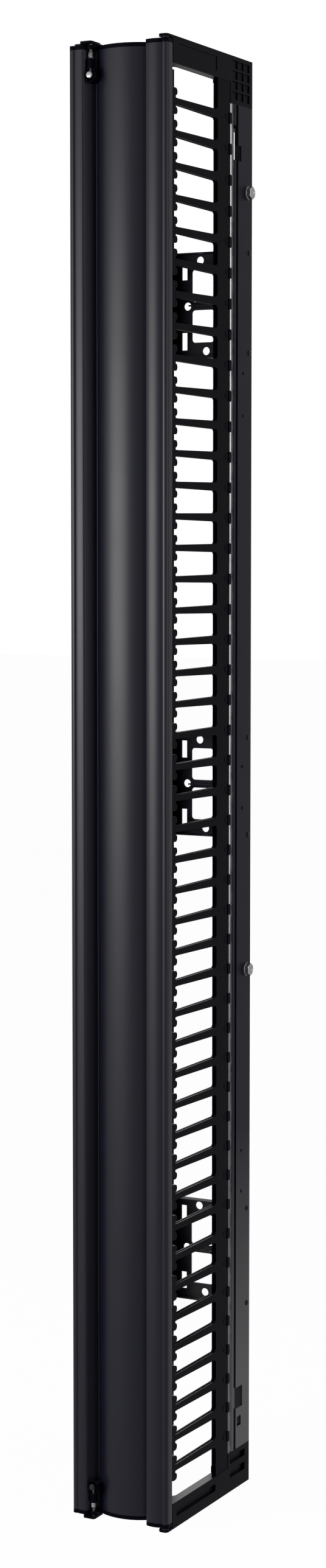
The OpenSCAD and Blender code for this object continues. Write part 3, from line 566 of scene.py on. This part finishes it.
def hexagon(name, seat, low, high, chamfered_low):
    """A hexagonal block turned at its ends: a round blank with sloping rims, cut by six planes."""
    steepness = 0.55
    corner = seat.radius
    flat = corner * HEX_HALF
    slope = steepness * (corner - HEX_FACE * flat)
    profile = [(HEX_FACE * flat, low), (corner, low + slope)] if chamfered_low else [(corner, low)]
    block = turned(name, profile + [(corner, high - slope), (HEX_FACE * flat, high)], sides=48)
    for k in range(6):
        turn = math.radians(30 + 60 * k)
        out = Vector((math.cos(turn), math.sin(turn), 0))
        bpy.ops.mesh.select_all(action="SELECT")
        bpy.ops.mesh.bisect(plane_co=flat * out, plane_no=out, use_fill=True, clear_outer=True)
    return block


def ridged(radius, low, high, pitch):
    """The profile of a threaded stretch, as rings of the thread's depth."""
    depth_share, root, crest_start, crest_end = 0.55, 0.1, 0.45, 0.6
    depth = depth_share * pitch
    rings = []
    for k in range(int((high - low) / pitch)):
        rings += [(radius - depth, low + (k + root) * pitch), (radius, low + (k + crest_start) * pitch),
                  (radius, low + (k + crest_end) * pitch)]
    return rings + [(radius - depth, high)]


def hexagon_bolt(name, seat):
    """A hexagon bolt with a turned dish in its head; the head's top is at z = 0."""
    dish_radius, dish_depth, dish_draft = 0.62, 0.1, 0.86
    tip_radius, thread_root, tip_rise = 0.75, 0.84, 0.15
    pitch, run_out, plain_shank, into_head = 1.5 * MM, 4 * MM, 3.6 * MM, 0.2 * MM
    flat = seat.radius * HEX_HALF
    head = hexagon(name, seat, -seat.head, 0, chamfered_low=False)
    pick_top(head, edit(head))
    bpy.ops.mesh.inset(thickness=flat * HEX_FACE - dish_radius * flat)
    draw_out(-dish_depth * seat.head, dish_draft)
    close()
    radius, low = seat.shank, -seat.length
    thread_start = low + tip_rise * radius
    profile = [(tip_radius * radius, low), (thread_root * radius, thread_start)]
    profile += ridged(radius, thread_start, -seat.head - run_out, pitch)
    profile += [(radius, -seat.head - plain_shank), (radius, -seat.head + into_head)]
    shank = turned(name + "_shank", profile, sides=32)
    close()
    bolt = joined(name, [head, shank])
    smooth(bolt, HEX_ANGLE)
    return bolt


def ring(name, seat, edge):
    """A flat washer with rounded rims: a disc whose middle is cut out and bridged through."""
    radius, low = seat.radius, -seat.length
    disc = turned(name, [(radius - edge, low), (radius, low + edge), (radius, -edge), (radius - edge, 0)],
                  sides=48)
    mesh = bmesh.from_edit_mesh(disc.data)
    for face in mesh.faces:
        face.select_set(abs(face.normal.z) > LEVEL)
    bmesh.update_edit_mesh(disc.data)
    bpy.ops.mesh.inset(thickness=radius - edge - seat.bore, use_individual=True)
    bpy.ops.mesh.bridge_edge_loops()
    close()
    smooth(disc, TURNED_ANGLE)
    return disc


def hexagon_nut(name, seat):
    """A nut chamfered at both faces, with a countersunk bore."""
    sink, sink_depth = 0.12, 0.1
    block = hexagon(name, seat, -seat.length, 0, chamfered_low=True)
    inner = HEX_FACE * seat.radius * HEX_HALF
    mesh = bmesh.from_edit_mesh(block.data)
    bpy.ops.mesh.select_all(action="DESELECT")
    for face in mesh.faces:
        if abs(face.normal.z) > LEVEL and len(face.verts) > 8:
            face.select_set(True)
    bmesh.update_edit_mesh(block.data)
    bpy.ops.mesh.inset(thickness=inner - (1 + sink) * seat.bore, use_individual=True)
    bpy.ops.mesh.inset(thickness=sink * seat.bore, depth=-sink_depth * seat.bore, use_individual=True)
    bpy.ops.mesh.bridge_edge_loops()
    close()
    smooth(block, HEX_ANGLE)
    return block


def grip_knob(name, seat):
    """A turned knob with a domed face, a groove for the fingertips and its stem."""
    tip, tip_rise = 0.8, 0.3
    head, stem = seat.head, seat.shank
    profile = [(tip * stem, -seat.length), (stem, -seat.length + tip_rise * stem), (stem, -head)]
    knob = turned(name, profile + outline(KNOB_HEAD, seat.radius, head), sides=40)
    close()
    smooth(knob, KNOB_ANGLE)
    return knob


def plain_pin(name, seat):
    """A ground pin with a chamfer at each end and a turning centre in its face."""
    end, chamfer = 0.8, 0.25
    centre, centre_floor, centre_depth = 0.3, 0.1, 0.2
    r, low = seat.radius, -seat.length
    pin = turned(name, [(end * r, low), (r, low + chamfer * r), (r, -chamfer * r), (end * r, 0),
                        (centre * r, 0), (centre_floor * r, -centre_depth * r)], sides=32)
    close()
    smooth(pin, TURNED_ANGLE)
    return pin


# ------------------------------------------------------------------ pieces

CRISP = {
    "door_panel_upper": "panel_upper", "door_panel_lower": "panel_lower", "door_splice": "panel_splice",
    "rail_right": "upright_right", "rail_left": "upright_left",
    "cross_bracket_upper": "bracket_upper", "cross_bracket_middle": "bracket_middle",
    "cross_bracket_lower": "bracket_lower", "hinge_washers": "hinge_rings",
    "hinge_bush_top": "hinge_liner_top", "hinge_bush_bottom": "hinge_liner_bottom",
    "latch_pin_top": "latch_bolt_top", "latch_pin_bottom": "latch_bolt_bottom",
    "top_cap": "end_frame_top", "bottom_cap": "end_frame_bottom"}
for node, name in CRISP.items():
    smoothed(node, name)

SMALL_ROUND, FINGER_ROUND = 0.3, 0.45
ENDS = ("top", "bottom")
for end in ENDS:
    rounded("door_cap_" + end, "door_end_" + end, SMALL_ROUND)
for side in ("right", "left"):
    for row in ("upper", "middle", "lower"):
        rounded(f"finger_strip_{side}_{row}", f"fingers_{side}_{row}", FINGER_ROUND)
for end in ENDS:
    rounded("latch_housing_" + end, "latch_cup_" + end, SMALL_ROUND)

for node in ("strip_screws", "bracket_screws", "cap_screws", "splice_screws", "door_cap_screws"):
    place_copies(small_screw("screw", seats(node)[0]), node, node.replace("screws", "screw_set"))
WASHER_EDGE = 0.25 * MM
place_copies(hexagon_bolt("bolt", seats("mounting_bolts")[0]), "mounting_bolts", "side_bolts")
place_copies(ring("washer", seats("mounting_washers")[0], WASHER_EDGE), "mounting_washers", "side_washers")
place_copies(hexagon_nut("nut", seats("mounting_nuts")[0]), "mounting_nuts", "side_nuts")
for end in ENDS:
    place_copies(grip_knob("knob", seats("latch_knob_" + end)[0]), "latch_knob_" + end, "latch_grip_" + end)
    place_copies(plain_pin("pin", seats("hinge_pin_" + end)[0]), "hinge_pin_" + end, "hinge_dowel_" + end)


# ------------------------------------------------------------------ studio

WHITE = (1, 1, 1, 1)
FLOOR_SIZE, FLOOR_COLOUR, FLOOR_ROUGHNESS, FLOOR_GLOW = 60, (0.9, 0.9, 0.9, 1), 0.9, 0.975
AROUND, BACKDROP = 0.15, 1.0        # how bright the room is as a light, and how bright it is seen
LENS, SENSOR, NEAR, FAR = 64.144, 36, 0.1, 200
CAMERA_PLACE, CAMERA_TILT, CAMERA_TURN = (1.9243, -3.6206, 1.4156), 85.27, 27.98


def seen_directly(tree):
    """1 for rays from the camera, off gloss and through glass, else 0."""
    path = tree.nodes.new("ShaderNodeLightPath")
    either = maths(tree, "MAXIMUM", path.outputs["Is Camera Ray"], path.outputs["Is Glossy Ray"])
    return maths(tree, "MAXIMUM", either, path.outputs["Is Transmission Ray"])


def blended(tree, share, first, second, surface):
    """Sends a mix of two shaders to an output's surface socket: share of the second one."""
    blend = tree.nodes.new("ShaderNodeMixShader")
    tree.links.new(share, blend.inputs["Fac"])
    tree.links.new(first, blend.inputs[1])
    tree.links.new(second, blend.inputs[2])
    tree.links.new(blend.outputs["Shader"], surface)


bpy.ops.mesh.primitive_plane_add(size=FLOOR_SIZE, location=(0, 0, 0))
floor = bpy.context.object
floor.name = "studio_floor"
floor_paper = bpy.data.materials.new("floor_paper")
floor_paper.use_nodes = True
tree = floor_paper.node_tree
paper = tree.nodes["Principled BSDF"]
paper.inputs["Base Color"].default_value = FLOOR_COLOUR
paper.inputs["Roughness"].default_value = FLOOR_ROUGHNESS
glow = tree.nodes.new("ShaderNodeEmission")
glow.inputs["Color"].default_value = WHITE
blended(tree, maths(tree, "MULTIPLY", seen_directly(tree), FLOOR_GLOW), paper.outputs["BSDF"],
        glow.outputs["Emission"], tree.nodes["Material Output"].inputs["Surface"])
floor.data.materials.append(floor_paper)

world = bpy.data.worlds.new("studio")
scene.world = world
world.use_nodes = True
tree = world.node_tree
around, backdrop = tree.nodes["Background"], tree.nodes.new("ShaderNodeBackground")
for background, strength in ((around, AROUND), (backdrop, BACKDROP)):
    background.inputs["Color"].default_value = WHITE
    background.inputs["Strength"].default_value = strength
blended(tree, seen_directly(tree), around.outputs["Background"], backdrop.outputs["Background"],
        tree.nodes["World Output"].inputs["Surface"])


def softbox(name, place, aim, width, height, watts):
    """A soft rectangular lamp at a place, aimed at a point."""
    lamp = bpy.data.lights.new(name, "AREA")
    lamp.shape = "RECTANGLE"
    lamp.size, lamp.size_y = width, height
    lamp.energy = watts
    obj = bpy.data.objects.new(name, lamp)
    obj.location = place
    obj.rotation_euler = (Vector(aim) - Vector(place)).to_track_quat("-Z", "Y").to_euler()
    scene.collection.objects.link(obj)


softbox("front_softbox", place=(-1.9, -3.75, 1.42), aim=(0, 0, 1.35), width=3.0, height=0.5, watts=230)
softbox("edge_strip", place=(3.6, -0.4, 1.6), aim=(0, 0, 1.2), width=0.8, height=2.4, watts=52)

camera_data = bpy.data.cameras.new("camera")
camera_data.lens = LENS
camera_data.sensor_width = SENSOR
camera_data.clip_start, camera_data.clip_end = NEAR, FAR
camera = bpy.data.objects.new("camera", camera_data)
camera.location = CAMERA_PLACE
camera.rotation_euler = (math.radians(CAMERA_TILT), 0, math.radians(CAMERA_TURN))
scene.collection.objects.link(camera)
scene.camera = camera

scene.view_settings.view_transform = "Standard"
